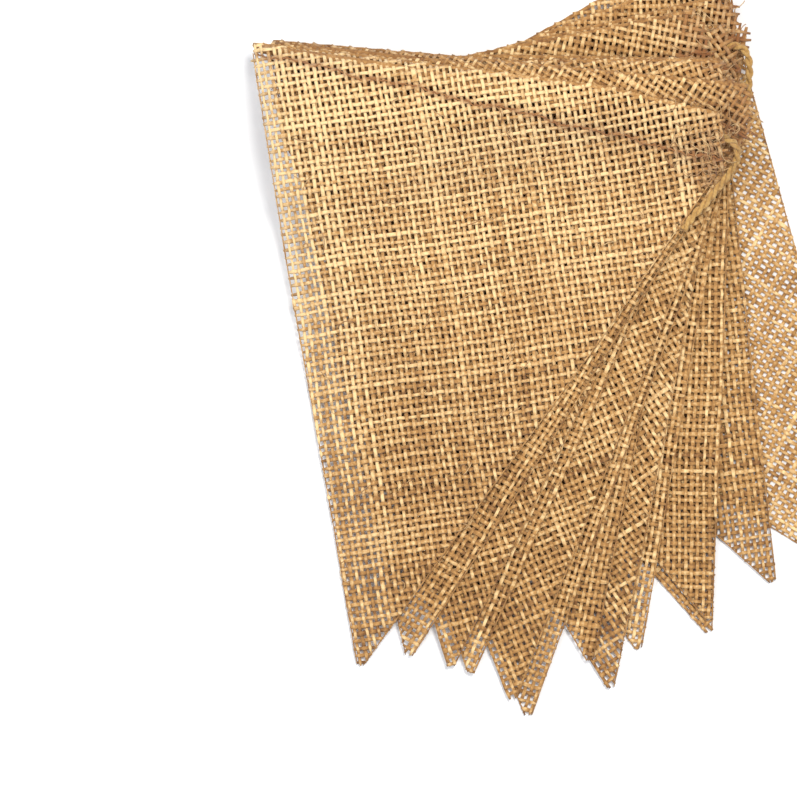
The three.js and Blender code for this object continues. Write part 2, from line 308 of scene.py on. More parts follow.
def spline_weights(f):
    return (
        (1 - f) ** 3 / 6,
        (3 * f**3 - 6 * f**2 + 4) / 6,
        (-3 * f**3 + 3 * f**2 + 3 * f + 1) / 6,
        f**3 / 6,
    )


def under_height(p, x, y):
    column = (x - LATTICE_FROM[0]) / (LATTICE_STEP / 2) + 2
    row = (y - LATTICE_FROM[1]) / (LATTICE_STEP / 2) + 2
    c = np.floor(column).astype(int)
    r = np.floor(row).astype(int)
    across, along = spline_weights(column - c), spline_weights(row - r)
    height = np.zeros_like(x)
    for i in range(4):
        for j in range(4):
            height += p["heights"][r + j - 1, c + i - 1] * across[i] * along[j]
    return np.maximum(height, 0)


print("shares halfway between two nodes:", [round(share, 3) for share in spline_weights(0.5)])

# %% [markdown]
# ## The casing's swell
# Below the stitch line the cloth is one layer. Above it the hem is double, so its upper layer stands
# higher. The stitches pull it down to a groove, it swells to its full height in the middle, and it turns
# down at the fold. Where a casing is rolled up at its left end, or held open at its right end, it swells
# more.

# %% Rise of the upper layer
CLOTH_THICKNESS = 1.0
MIDDLE_OF_LAYER = CLOTH_THICKNESS / 2
CASING_THICKNESS = 2.4
ROLL_THICKNESS = 0.2
MOUTH_LENGTH = 24
MOUTH_WALL = 0.9
FLAP_SINK = 0.05
LOW_SHARES = ((-3.5, 0.0), (-1.6, 0.34), (-0.5, 0.42), (0.0, 0.40))
HIGH_SHARES = ((0.0, 0.40), (0.05, 0.45), (0.22, 0.86), (0.5, 1.0), (0.8, 0.88), (1.0, 0.45))
FLAP_SHARES = ((0.75, 0.0), (1.0, 0.38))


def casing_depth(p, u):
    taper = (CASING_DEPTH - p["casing_left"]) / (p["full_at"] + p["left"])
    return np.clip(p["casing_left"] + taper * (u + p["left"]), p["casing_left"], CASING_DEPTH)


def casing_top(p, u):
    rolled = CASING_THICKNESS + ROLL_THICKNESS * (CASING_DEPTH - casing_depth(p, u))
    if not p["mouth"]:
        return rolled
    return np.maximum(rolled, 2 * MOUTH_WALL + p["mouth"] * (1 - (p["end"] - u) / MOUTH_LENGTH))


def layer_rise(p, u, v):
    low = np.interp(v, *zip(*LOW_SHARES))
    high = np.interp(v / casing_depth(p, u), *zip(*HIGH_SHARES))
    return MIDDLE_OF_LAYER + (casing_top(p, u) - CLOTH_THICKNESS) * np.where(v < 0, low, high)


def flap_rise(p, u, v):
    swell = np.interp(v / casing_depth(p, u), *zip(*FLAP_SHARES))
    return MIDDLE_OF_LAYER - FLAP_SINK + (casing_top(p, u) - CLOTH_THICKNESS) * swell


def cloth_height(p, x, y, rise=layer_rise):
    u, v = to_pennant(p, x, y)
    return under_height(p, x, y) + rise(p, np.minimum(u, p["end"]), v)


casing_profile = layer_rise(pennants[0], np.full(5, 20.0), np.linspace(0, 13, 5))
print("casing of the front pennant, mm above its underside:", casing_profile.round(2))

# %% [markdown]
# ## Jute
# Jute is a dull, dry, golden fibre. Each yarn has its own tone. A picture of jute spread over the cloth
# would be the quick way, but it would give all the yarns one tone, so the tone is stored on the mesh
# instead, one number for each place along a yarn, and the material reads it. Two noises are added to it: a
# fine one for single fibres, and a broad one for patches of the cloth.

# %% Tone of a place on the jute
MOTTLE_SCALE = 1250
MOTTLE_DETAIL = 3
MOTTLE_SHARE = 0.75
PATCH_SCALE = 28
PATCH_DETAIL = 1
PATCH_SHARE = 0.15
MIDDLE_OF_NOISE = 0.45


def noise(tree, scale, detail, place):
    node = tree.nodes.new("ShaderNodeTexNoise")
    node.inputs["Scale"].default_value = scale
    node.inputs["Detail"].default_value = detail
    tree.links.new(place, node.inputs["Vector"])
    return node.outputs["Fac"]


def stored(tree, label):
    node = tree.nodes.new("ShaderNodeAttribute")
    node.attribute_name = label
    return node.outputs["Fac"]


def add_share(tree, value, share, base):
    node = tree.nodes.new("ShaderNodeMath")
    node.operation = "MULTIPLY_ADD"
    node.inputs[1].default_value = share
    tree.links.new(value, node.inputs[0])
    tree.links.new(base, node.inputs[2])
    return node.outputs["Value"]


def jute_tone(tree):
    place = tree.nodes.new("ShaderNodeTexCoord").outputs["Object"]
    mottle = noise(tree, MOTTLE_SCALE, MOTTLE_DETAIL, place)
    patches = noise(tree, PATCH_SCALE, PATCH_DETAIL, place)
    # The stored tone also holds a painted highlight on the crowns of the weave and painted shade in its
    # dips.
    mottled = add_share(tree, mottle, MOTTLE_SHARE, stored(tree, "tone"))
    centred = tree.nodes.new("ShaderNodeMath")
    centred.operation = "SUBTRACT"
    centred.inputs[1].default_value = MIDDLE_OF_NOISE
    tree.links.new(add_share(tree, patches, PATCH_SHARE, mottled), centred.inputs[0])
    return centred.outputs["Value"]


print("patches of tone about", round(1 / PATCH_SCALE / MM), "mm across")

# %% [markdown]
# A ramp turns the tone into a colour, from the brown of the deepest fibres to the straw of the lightest. A
# second stored number says how much dark brown lies on a yarn. It is painted shade in the seam's groove, at
# the casing's mouth, in the fold and on the core inside the casing, and it is the real brown of the stitch
# thread, the cut edges and the loose fibres.

# %% Colour of the jute
DARK_AT = 0.12
MIDDLE_AT = 0.52
LIGHT_AT = 0.95


def jute_colour(tree, dark, middle, light, seam):
    ramp = tree.nodes.new("ShaderNodeValToRGB")
    ramp.color_ramp.elements[0].position = DARK_AT
    ramp.color_ramp.elements[0].color = (*dark, 1)
    ramp.color_ramp.elements[1].position = LIGHT_AT
    ramp.color_ramp.elements[1].color = (*light, 1)
    ramp.color_ramp.elements.new(MIDDLE_AT).color = (*middle, 1)
    tree.links.new(jute_tone(tree), ramp.inputs["Fac"])
    # Mixes in the dark brown: painted shade in grooves, folds and hollows, and the real brown of thread and
    # fibres.
    mix = tree.nodes.new("ShaderNodeMix")
    mix.data_type = "RGBA"
    tree.links.new(stored(tree, "seam"), mix.inputs["Factor"])
    tree.links.new(ramp.outputs["Color"], mix.inputs["A"])
    mix.inputs["B"].default_value = (*seam, 1)
    return mix.outputs["Result"]


print("tones from dark to light:", DARK_AT, MIDDLE_AT, LIGHT_AT)

# %% [markdown]
# Fibres run along the yarn, so the bump comes from noise that is stretched along it, in a map that is made
# with the yarn. The dry fibres have a dull surface with a little sheen, and no gloss.

# %% Jute materials
FIBRE_STRETCH = (0.5, 9.0, 1.0)
FIBRE_SCALE = 1.6
FIBRE_DETAIL = 2
# The dark brown of painted shade in grooves, folds and hollows, and of the stitch thread.
SHADE_AND_THREAD_BROWN = (0.30, 0.12, 0.04)
CLOTH_COLOURS = (0.19, 0.08, 0.024), (0.49, 0.255, 0.08), (0.93, 0.66, 0.33)
TWINE_COLOURS = (0.26, 0.12, 0.03), (0.50, 0.29, 0.09), (0.76, 0.52, 0.20)


def fibre_bump(tree):
    along = tree.nodes.new("ShaderNodeUVMap")
    along.uv_map = "along_yarn"
    stretch = tree.nodes.new("ShaderNodeMapping")
    stretch.inputs["Scale"].default_value = FIBRE_STRETCH
    tree.links.new(along.outputs["UV"], stretch.inputs["Vector"])
    fibres = noise(tree, FIBRE_SCALE, FIBRE_DETAIL, stretch.outputs["Vector"])
    bump = tree.nodes.new("ShaderNodeBump")
    bump.inputs["Strength"].default_value = 0.55
    bump.inputs["Distance"].default_value = 0.0003
    tree.links.new(fibres, bump.inputs["Height"])
    return bump.outputs["Normal"]


def jute(name, dark, middle, light, seam):
    material = bpy.data.materials.new(name)
    material.use_nodes = True
    tree = material.node_tree
    shader = tree.nodes["Principled BSDF"]
    shader.inputs["Roughness"].default_value = 0.88
    shader.inputs["Specular IOR Level"].default_value = 0.25
    shader.inputs["Sheen Weight"].default_value = 0.15
    shader.inputs["Sheen Roughness"].default_value = 0.6
    tree.links.new(jute_colour(tree, dark, middle, light, seam), shader.inputs["Base Color"])
    tree.links.new(fibre_bump(tree), shader.inputs["Normal"])
    return material


jute_cloth = jute("jute_cloth", *CLOTH_COLOURS, SHADE_AND_THREAD_BROWN)
jute_twine = jute("jute_twine", *TWINE_COLOURS, SHADE_AND_THREAD_BROWN)
print("materials:", jute_cloth.name, jute_twine.name)

# %% [markdown]
# ## Tubes from stations
# A yarn is a row of stations: where its middle is, how wide and thick it is there, and its tone. A ring of
# corners goes round each station, and faces join one ring to the next. The ring stands square to the yarn,
# and its flat side follows the cloth. The corners go round so that every face looks outwards.

# %% Rings and faces of a tube
TINY = 1e-12


def unit(vectors):
    return vectors / (np.linalg.norm(vectors, axis=1, keepdims=True) + TINY)


def length_along(middle):
    return np.concatenate([[0], np.cumsum(np.linalg.norm(np.diff(middle, axis=0), axis=1))])


def rings(middle, side, width, thickness, sides):
    tangent = unit(np.gradient(middle, axis=0))
    side = unit(side - tangent * (side * tangent).sum(1, keepdims=True))
    normal = np.cross(tangent, side)
    angle = ((np.arange(sides) + 0.5) * 2 * math.pi / sides)[None, :, None]
    reach = (width / math.cos(math.pi / sides))[:, None, None]
    across = side[:, None] * np.cos(angle) * reach
    through = normal[:, None] * np.sin(angle) * thickness[:, None, None]
    return middle[:, None] + across + through


def tube_faces(stations, sides, first):
    """The walls from ring to ring, and a cap at each end."""
    ring = np.arange(sides)[None, :]
    start = np.arange(stations - 1)[:, None] * sides
    a, b = start + ring, start + (ring + 1) % sides
    walls = np.stack([a, b, b + sides, a + sides], axis=2).reshape(-1, 4) + first
    last = first + (stations - 1) * sides
    head_cap = [first + i for i in range(sides)][::-1]
    tail_cap = [last + i for i in range(sides)]
    return [*walls.tolist(), head_cap, tail_cap]


print("faces of a five-sided tube with ten stations:", len(tube_faces(10, 5, 0)))

# %% [markdown]
# All the yarns of a pennant go into one mesh, because they are one piece of cloth. Each yarn starts at its
# own place in the map of the fibres, so that no two yarns show the same ones.

# %% Yarn meshes
MAP_STEP = 7.3
MAP_LENGTH = 91


class YarnMesh:
    def __init__(self):
        self.corners, self.faces, self.tones, self.seams, self.maps = [], [], [], [], []
        self.count = 0

    def add(self, middle, side, width, thickness, tone, seam, sides):
        stations = len(middle)
        self.corners.append(rings(middle, side, width, thickness, sides).reshape(-1, 3))
        self.faces += tube_faces(stations, sides, self.count)
        self.tones.append(np.repeat(tone, sides))
        self.seams.append(np.repeat(seam, sides))
        along = np.repeat(length_along(middle), sides) + MAP_STEP * self.count % MAP_LENGTH
        around = np.tile(np.abs(np.arange(sides) / sides - 0.5) * 2, stations)
        self.maps.append(np.column_stack([along, around]))
        self.count += stations * sides

    def mesh(self, name):
        corners = np.concatenate(self.corners)
        corners[:, :2] += PLAN_ORIGIN
        mesh = bpy.data.meshes.new(name)
        mesh.from_pydata(corners * MM, [], self.faces)
        mesh.polygons.foreach_set("use_smooth", np.ones(len(mesh.polygons), bool))
        # The stored seam number holds painted shade and the real brown of thread, edges and fibres.
        for label, values in (("tone", self.tones), ("seam", self.seams)):
            attribute = mesh.attributes.new(label, "FLOAT", "POINT")
            attribute.data.foreach_set("value", np.concatenate(values).astype(np.float32))
        uv = mesh.uv_layers.new(name="along_yarn")
        which = np.zeros(len(mesh.loops), int)
        mesh.loops.foreach_get("vertex_index", which)
        uv.data.foreach_set("uv", np.concatenate(self.maps)[which].astype(np.float32).ravel())
        return mesh

    def build(self, name, material, slot, node):
        mesh = self.mesh(name)
        mesh.materials.append(material)
        mesh.update()
        piece = bpy.data.objects.new(name, mesh)
        bpy.context.scene.collection.objects.link(piece)
        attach(piece, "root")
        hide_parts(node)
        print(f"{name}: {sum(len(face) - 2 for face in self.faces)} triangles")
        return piece


print("a yarn mesh keeps:", ", ".join(vars(YarnMesh())))

# %% [markdown]
# ## Weaving
# The warp of each pennant runs about 22 degrees off its middle line, to one side or to the other,
# depending on which way up the pennant lies. The yarns are counted off at the pitch of the cloth, each a
# little out of place, and the whole cloth is pulled slightly out of true, as jute always is: by a long
# wave, and by a shorter one that leans. Each crossing then gets a place.

# %% Crossings of one pennant
WARP_PITCH = 1.88
WEFT_PITCH = 2.28
BIAS = 21.9
WARP_OUT_OF_PLACE = 0.11
WEFT_OUT_OF_PLACE = 0.14
CROSSING_OUT_ACROSS = 0.09
CROSSING_OUT_ALONG = 0.10
WARP_PULLS = (0.45, 23), (0.25, 9, 31)
WEFT_PULLS = (0.55, 27), (0.30, 10, 37)


def counted_off(places, pitch):
    return np.arange(math.floor(places.min() / pitch) - 1, math.ceil(places.max() / pitch) + 2)


def pulled(place, crossing, pulls, phases):
    (long_size, long_wave), (short_size, short_wave, leaning_wave) = pulls
    long_pull = long_size * np.sin(crossing / long_wave + phases[0])
    short_pull = short_size * np.sin(crossing / short_wave + place / leaning_wave + phases[1])
    return place + long_pull + short_pull


def crossing_grid(p, chance):
    turn = math.radians(p["lean"] + p["turned"] * BIAS)
    warp = np.array([math.sin(turn), math.cos(turn)])
    weft = np.array([math.cos(turn), -math.sin(turn)])
    tip = np.array([p["tip_x"], p["tip_y"]])
    columns = counted_off((p["outline"] - tip) @ weft, WARP_PITCH)
    rows = counted_off((p["outline"] - tip) @ warp, WEFT_PITCH)
    column_at = columns * WARP_PITCH + chance.normal(0, WARP_OUT_OF_PLACE, len(columns))
    row_at = rows * WEFT_PITCH + chance.normal(0, WEFT_OUT_OF_PLACE, len(rows))
    across, along = np.meshgrid(column_at, row_at, indexing="ij")
    phases = chance.uniform(0, 2 * math.pi, 4)
    across = pulled(across, along, WARP_PULLS, phases[:2])
    along = pulled(along, across, WEFT_PULLS, phases[2:])
    across = across + chance.normal(0, CROSSING_OUT_ACROSS, across.shape)
    along = along + chance.normal(0, CROSSING_OUT_ALONG, along.shape)
    return tip + across[:, :, None] * weft + along[:, :, None] * warp


print("warp and weft yarns counted off:", crossing_grid(pennants[0], np.random.RandomState(0)).shape[:2])

# %% [markdown]
# A yarn is the row of crossings that lie inside the outline, with its ends carried on to the cut. The
# first helper says which crossings are inside, and the second where a step from the last one goes over the
# outline.

# %% Inside the outline and out of it
LEVEL = 1e-9
CORNER_SLACK = 1e-6


def inside(points, corners):
    x, y = points[..., 0], points[..., 1]
    result = np.zeros(x.shape, bool)
    for (x0, y0), (x1, y1) in zip(corners, np.roll(corners, -1, axis=0)):
        crosses = (y0 > y) != (y1 > y)
        where = x0 + (y - y0) * (x1 - x0) / ((y1 - y0) or LEVEL)
        result ^= crosses & (x < where)
    return result


def way_out(start, stop, corners):
    step = stop - start
    best, edge = 1.0, 0
    for k, (a, b) in enumerate(zip(corners, np.roll(corners, -1, axis=0))):
        along = b - a
        cross = step[0] * along[1] - step[1] * along[0]
        if abs(cross) > LEVEL:
            gap = a - start
            f = (gap[0] * along[1] - gap[1] * along[0]) / cross
            g = (gap[0] * step[1] - gap[1] * step[0]) / cross
            if 0 <= f <= best and -CORNER_SLACK <= g <= 1 + CORNER_SLACK:
                best, edge = f, k
    return best, edge


def runs_inside(mask):
    edges = np.flatnonzero(np.diff(np.concatenate([[0], mask.astype(int), [0]])))
    return list(zip(edges[::2], edges[1::2]))


print("runs in a row that is inside, outside and inside:", len(runs_inside(np.array([True, False, True]))))

# %% [markdown]
# ## Ends of the yarns
# A yarn that ends at a cut edge sticks out a little, and it frays further at the mouth of the casing,
# where the twine rubs. One that ends at the fold of the casing goes down to the middle of the fold, where
# a yarn of the hem's other layer meets it. The corners of the outline come in the order right edge, fold,
# left edge, and that tells which kind of edge a yarn has met.

# %% Yarn ends
FOLD_EDGES = range(EDGE_PIECES + 1, EDGE_PIECES + 3)
FOLD_SHARE = 0.42
FOLD_INSET = 0.35
SHORT_FRAY = 0.40
LONG_FRAY = 2.2
FRAYED_RUN = 9.0


def end_station(p, last, beyond, corners, chance):
    """The plan place where a yarn ends, and whether it turns over the fold there."""
    share, edge = way_out(last, beyond, corners)
    cut = last + (beyond - last) * share
    outwards = (beyond - last) / np.linalg.norm(beyond - last)
    if edge in FOLD_EDGES:
        return cut - outwards * min(FOLD_INSET, np.linalg.norm(cut - last) / 2), True
    u, v = to_pennant(p, *cut)
    at_mouth = u > p["end"] - FRAYED_RUN and v > -FRAYED_RUN
    return cut + outwards * chance.uniform(0, LONG_FRAY if at_mouth else SHORT_FRAY), False


def fold_height(p, u, x, y):
    swell = (casing_top(p, np.minimum(u, p["end"])) - CLOTH_THICKNESS) * FOLD_SHARE
    return under_height(p, x, y) + MIDDLE_OF_LAYER + swell


print("edges of the outline that are folds:", list(FOLD_EDGES))

# %% [markdown]
# ## Shape of a yarn
# Each station of a yarn gets the height of the cloth there, plus the lift that takes it over one crossing
# and under the next. Its flat side is tilted as the cloth is, which is measured a little to both sides of
# it.

# %% Stations of a yarn
SLOPE_REACH = 0.6
STEEPEST = 1.2


def stations_of(run, lift, ends, finer):
    (head, _), (tail, _) = ends
    places, lifts = [head], [0.0]
    for k, crossing in enumerate(run):
        places.append(crossing)
        lifts.append(lift[k])
        if finer and k + 1 < len(run):
            places.append((crossing + run[k + 1]) / 2)
            lifts.append((lift[k] + lift[k + 1]) / 2)
    return np.array([*places, tail]), np.array([*lifts, 0.0])


def flat_side(p, x, y, rise):
    way = np.array([x[-1] - x[0], y[-1] - y[0]])
    across = np.array([-way[1], way[0]]) / np.linalg.norm(way)
    ahead = cloth_height(p, x + SLOPE_REACH * across[0], y + SLOPE_REACH * across[1], rise)
    behind = cloth_height(p, x - SLOPE_REACH * across[0], y - SLOPE_REACH * across[1], rise)
    slope = np.clip((ahead - behind) / (2 * SLOPE_REACH), -STEEPEST, STEEPEST)
    return np.column_stack([np.tile(across, (len(x), 1)), slope])


print("steepest tilt of a yarn's flat side, in degrees:", round(math.degrees(math.atan(STEEPEST))))

# %% [markdown]
# Spun jute is thick and thin by turns, so its width swings in two waves, and a cut end is thinner. Its
# tone swings too: the crowns of the weave are painted paler and its dips darker, a painted highlight and
# painted shade; each pennant darkens a little towards its point, and the front one from left to right as
# well. Painted shade, in brown, lies in a narrow band along the stitch line, where the seam pulls a groove,
# and at the casing's mouth.

# %% Width, tone and brown of a yarn
YARN_HALF_THICKNESS = 0.24
SLUB_SHARE = 0.07
LONG_SLUBS = (2.5, 5)
SHORT_SLUB = 1.3
YARN_SIZES = (0.88, 1.12)
ANY_START = (0, 6)
CUT_WIDTH = 0.6
CUT_THICKNESS = 0.7
# Painted highlight on the crowns of the weave and painted shade in its dips.
CROWN_HIGHLIGHT_AND_DIP_SHADE = 0.9
TONE_WAVE = 0.06
TONE_WAVE_LENGTH = 4.1
TONE_GRAIN = 0.05
# Painted shade, given as brown, in the seam's groove and at the casing's mouth.
SEAM_GROOVE_SHADE = 0.75
SEAM_BAND = 0.9
SEAM_WAVES = (0.5, 5.3), (0.3, 2.1)
MOUTH_PAINTED_SHADE = 0.75
MOUTH_SHADE_SHARES = (0.4, 1.2)
MOUTH_SHADE_RUN = 9.0


def uneven_width(half_width, step, chance):
    slub = np.sin(step / chance.uniform(*LONG_SLUBS) + chance.uniform(*ANY_START))
    slub += np.sin(step / SHORT_SLUB + chance.uniform(*ANY_START))
    return half_width * (1 + SLUB_SHARE * slub) * chance.uniform(*YARN_SIZES)


def yarn_tones_and_painted_light(p, tone, u, v, step, lifts, chance):
    wave = TONE_WAVE * np.sin(step / TONE_WAVE_LENGTH + chance.uniform(*ANY_START))
    grain = chance.normal(0, TONE_GRAIN, len(u))
    darkening = p["fade"] * (v / p["drop"] + 0.5) - p["across"] * u / (p["left"] + p["right"])
    # The lift adds a painted highlight where a yarn is on top and painted shade where it goes under.
    return tone + wave + grain + CROWN_HIGHLIGHT_AND_DIP_SHADE * lifts + darkening


def seam_wander(p, u):
    (long_size, long_wave), (short_size, short_wave) = SEAM_WAVES
    return long_size * np.sin(u / long_wave + p["tip_x"]) + short_size * np.sin(u / short_wave)


# Painted shade: brown in the groove along the stitch line and in the casing's mouth.
def yarn_painted_shade(p, u, v, chance):
    groove_shade = SEAM_GROOVE_SHADE * np.exp(-(((v - seam_wander(p, u)) / SEAM_BAND) ** 2))
    at_mouth = MOUTH_PAINTED_SHADE * np.exp(-(((u - p["end"]) / MOUTH_SHADE_RUN) ** 2)) * (v > -FRAYED_RUN)
    return np.clip(groove_shade + at_mouth * chance.uniform(*MOUTH_SHADE_SHARES), 0, 1)


at_the_seam = yarn_painted_shade(pennants[0], np.zeros(1), np.zeros(1), np.random.RandomState(0))
print("share of brown near the seam's middle:", at_the_seam.round(2))

# %% [markdown]
# ## One layer of cloth
# At every crossing the warp goes over and the weft under, or the other way round, like the fields of a
# chess board. The warp bends more than the weft, and it is painted a little paler, a painted highlight for
# its higher crowns. Now and then a yarn is thicker. A yarn can leave the outline and come back into it, and
# then it is laid as two.

# %% A woven layer
WARP_HALF_WIDTH = 0.50
WEFT_HALF_WIDTH = 0.57
CRIMP = 0.25
WARP_CRIMP = 1.1
WEFT_CRIMP = 0.9
# Painted highlight: the warp, whose crowns stand higher, is painted a little paler.
WARP_PAINTED_HIGHLIGHT = 0.05
TONE_SPREAD = 0.10
THICK_YARN = 1.25
THICK_SHARE = 0.06


def lay_yarn(p, yarns, run, ends, lift, half_width, tone, making, chance):
    sides, finer, rise = making
    places, lifts = stations_of(run, lift, ends, finer)
    x, y = places.T
    u, v = to_pennant(p, x, y)
    height = cloth_height(p, x, y, rise)
    step = np.arange(len(x)) / (2 if finer else 1)
    width = uneven_width(half_width, step, chance)
    thickness = np.full(len(x), YARN_HALF_THICKNESS)
    for k, (_, turns_over) in zip((0, -1), ends):
        if turns_over:
            height[k] = fold_height(p, u[[k]], x[[k]], y[[k]])[0]
        else:
            width[k] *= CUT_WIDTH
            thickness[k] *= CUT_THICKNESS
    middle = np.column_stack([x, y, height + lifts])
    tones = yarn_tones_and_painted_light(p, tone, u, v, step, lifts, chance)
    # painted shade of the seam's groove and of the casing's mouth
    shade_and_brown = yarn_painted_shade(p, u, v, chance)
    yarns.add(middle, flat_side(p, x, y, rise), width, thickness, tones, shade_and_brown, sides)


def weave_layer(p, yarns, grid, corners, crimp, making, chance):
    kept = inside(grid, corners)
    checker = (np.add.outer(np.arange(grid.shape[0]), np.arange(grid.shape[1])) % 2) * 2 - 1
    warp = (grid, kept, checker * crimp * WARP_CRIMP, WARP_HALF_WIDTH, WARP_PAINTED_HIGHLIGHT)
    weft = (grid.transpose(1, 0, 2), kept.T, -checker.T * crimp * WEFT_CRIMP, WEFT_HALF_WIDTH, 0.0)
    for points, mask, lift, half_width, warp_highlight in (warp, weft):
        for line in range(points.shape[0]):
            tone = p["tone"] + chance.normal(0, TONE_SPREAD) + warp_highlight
            half = half_width * (THICK_YARN if chance.uniform() < THICK_SHARE else 1.0)
            for first, stop in runs_inside(mask[line]):
                if first == 0 or stop == points.shape[1]:
                    continue
                run = points[line, first:stop]
                head = end_station(p, run[0], points[line, first - 1], corners, chance)
                tail = end_station(p, run[-1], points[line, stop], corners, chance)
                lay_yarn(p, yarns, run, (head, tail), lift[line, first:stop], half, tone, making, chance)


print("warp and weft yarns in mm:", 2 * WARP_HALF_WIDTH, 2 * WEFT_HALF_WIDTH, "wide")

# %% [markdown]
# ## The hem
# The hem's turned-under layer is the casing's depth and a little more below the stitch line. It lies
# inside the outline, so that its own cut ends don't look out. Where a casing is rolled up, several turns
# of cloth lie inside it, and no light comes through. One flat core that grows with the roll stands for
# those turns. It is painted darker and browner than the cloth, painted shade inside the casing.

# %% Turned-under layer and core
SEAM_ALLOWANCE = 2.5
FLAP_INSET = 0.8
CORE_STEP = 3.0
CORE_HEIGHT = 1.2
CORE_RISE = 0.35
CORE_WIDTH_SHARE = 0.36
CORE_LEAST_WIDTH = 0.2
CORE_HALF_THICKNESS = 0.15
CORE_GROWTH = 0.2
# Painted shade inside the casing: the core is darker and browner than the cloth.
CORE_PAINTED_SHADE = 0.15
CORE_TONE_SPREAD = 0.08
CORE_SHADE_BROWN = 0.2
CORE_SIDES = 6


def flap_outline(p):
    """As many corners as a pennant's outline has, in the same order."""
    right = [(p["end"] - FLAP_INSET, -SEAM_ALLOWANCE)] * (EDGE_PIECES + 1)
    fold = [(p["end"] + p["slant"], CASING_DEPTH), (p["full_at"], CASING_DEPTH)]
    left = [(-p["left"] + FLAP_INSET, p["casing_left"]), (-p["left"] + FLAP_INSET, -SEAM_ALLOWANCE)]
    return np.array([to_plan(p, u, v) for u, v in right + fold + left])


def up_the_pennant(p, count):
    lean = math.radians(p["lean"])
    return np.tile([math.sin(lean), math.cos(lean), 0], (count, 1))


def add_core(p, yarns, chance):
    u = np.arange(-p["left"] + 1, p["full_at"], CORE_STEP)
    depth = casing_depth(p, u)
    x, y = to_plan(p, u, depth / 2)
    swell = casing_top(p, u) - CASING_THICKNESS
    middle = np.column_stack([x, y, under_height(p, x, y) + CORE_HEIGHT + CORE_RISE * swell])
    rolled = (CASING_DEPTH - depth) / (CASING_DEPTH - p["casing_left"])
    width = np.maximum(CORE_WIDTH_SHARE * depth * np.sqrt(rolled), CORE_LEAST_WIDTH)
    thickness = CORE_HALF_THICKNESS + CORE_GROWTH * swell
    tone = p["tone"] - CORE_PAINTED_SHADE + chance.normal(0, CORE_TONE_SPREAD, len(x))
    side = up_the_pennant(p, len(x))
    yarns.add(middle, side, width, thickness, tone, np.full(len(x), CORE_SHADE_BROWN), CORE_SIDES)


print("corners of a turned-under layer:", len(flap_outline(pennants[0])))

# %% [markdown]
# The fold itself is where the yarns of both layers lie closest, so it reads as one firm line. A flattened
# roll of yarn along it gives that line, painted a little darker and browner: painted shade in the fold.
# The slanting edges of the triangle are cut, and their loose ends are stuck down with size, so a thinner
# roll of fibre runs along each of them too.

# %% Fold and cut edges
ROLL_STEP = 1.6
ROLL_HALF_WIDTH = 0.6
ROLL_HALF_THICKNESS = 0.42
ROLL_OUT_OF_PLACE = 0.08
ROLL_SIZES = (0.85, 1.15)
# Painted shade in the fold: the roll is a little darker and browner than the cloth.
ROLL_PAINTED_SHADE = 0.08
ROLL_TONE_SPREAD = 0.10
ROLL_SHADE_BROWN = 0.12
ROLL_SIDES = 5
SIZED_STEP = 2.4
SIZED_HALF_WIDTH = 0.20
SIZED_HALF_THICKNESS = 0.22
SIZED_OUT_OF_LEVEL = 0.05
SIZED_SIZES = (0.7, 1.3)
SIZED_DARKER = 0.05
SIZED_TONE_SPREAD = 0.12
SIZED_BROWNS = (0, 0.2)
SIZED_SIDES = 4


def plan_line(points, step):
    line = []
    for (u0, v0), (u1, v1) in zip(points, points[1:]):
        pieces = max(2, int(math.hypot(u1 - u0, v1 - v0) / step))
        line += [(u0 + (u1 - u0) * k / pieces, v0 + (v1 - v0) * k / pieces) for k in range(pieces)]
    return np.array([*line, points[-1]])


def add_fold(p, yarns, chance):
    inner = CASING_DEPTH - ROLL_HALF_WIDTH
    left_end = (-p["left"], p["casing_left"] - ROLL_HALF_WIDTH)
    fold = [left_end, (p["full_at"], inner), (p["end"] + p["slant"], inner)]
    u, v = plan_line(fold, ROLL_STEP).T
    x, y = to_plan(p, u, v)
    middle = np.column_stack([x, y + chance.normal(0, ROLL_OUT_OF_PLACE, len(x)), fold_height(p, u, x, y)])
    tone = p["tone"] - ROLL_PAINTED_SHADE + chance.normal(0, ROLL_TONE_SPREAD, len(x))
    width = ROLL_HALF_WIDTH * chance.uniform(*ROLL_SIZES, len(x))
    thickness = np.full(len(x), ROLL_HALF_THICKNESS)
    side = up_the_pennant(p, len(x))
    yarns.add(middle, side, width, thickness, tone, np.full(len(x), ROLL_SHADE_BROWN), ROLL_SIDES)


def add_cut_edges(p, yarns, chance):
    for edge in (p["outline"][: EDGE_PIECES + 1], p["outline"][-EDGE_PIECES - 1 :]):
        x, y = plan_line(edge, SIZED_STEP).T
        height = cloth_height(p, x, y) + chance.normal(0, SIZED_OUT_OF_LEVEL, len(x))
        middle = np.column_stack([x, y, height])
        way = edge[-1] - edge[0]
        side = np.tile([way[1], -way[0], 0] / np.linalg.norm(way), (len(x), 1))
        width = SIZED_HALF_WIDTH * chance.uniform(*SIZED_SIZES, len(x))
        darkening = p["fade"] * ((y - p["tip_y"]) / p["drop"] - 0.5)
        tone = p["tone"] - SIZED_DARKER + chance.normal(0, SIZED_TONE_SPREAD, len(x)) + darkening
        shade_and_brown = chance.uniform(*SIZED_BROWNS, len(x))
        yarns.add(middle, side, width, np.full(len(x), SIZED_HALF_THICKNESS), tone, shade_and_brown, SIZED_SIDES)


print("stations along a 20 mm line:", len(plan_line([(0, 0), (20, 0)], ROLL_STEP)))

# %% [markdown]
# The stitches are a thinner, browner thread that wanders along the seam and dips into the cloth at every
# hole. Loose fibres stand off the cloth in short curls. Most of them are at the casing's mouth, where the
# twine rubs.

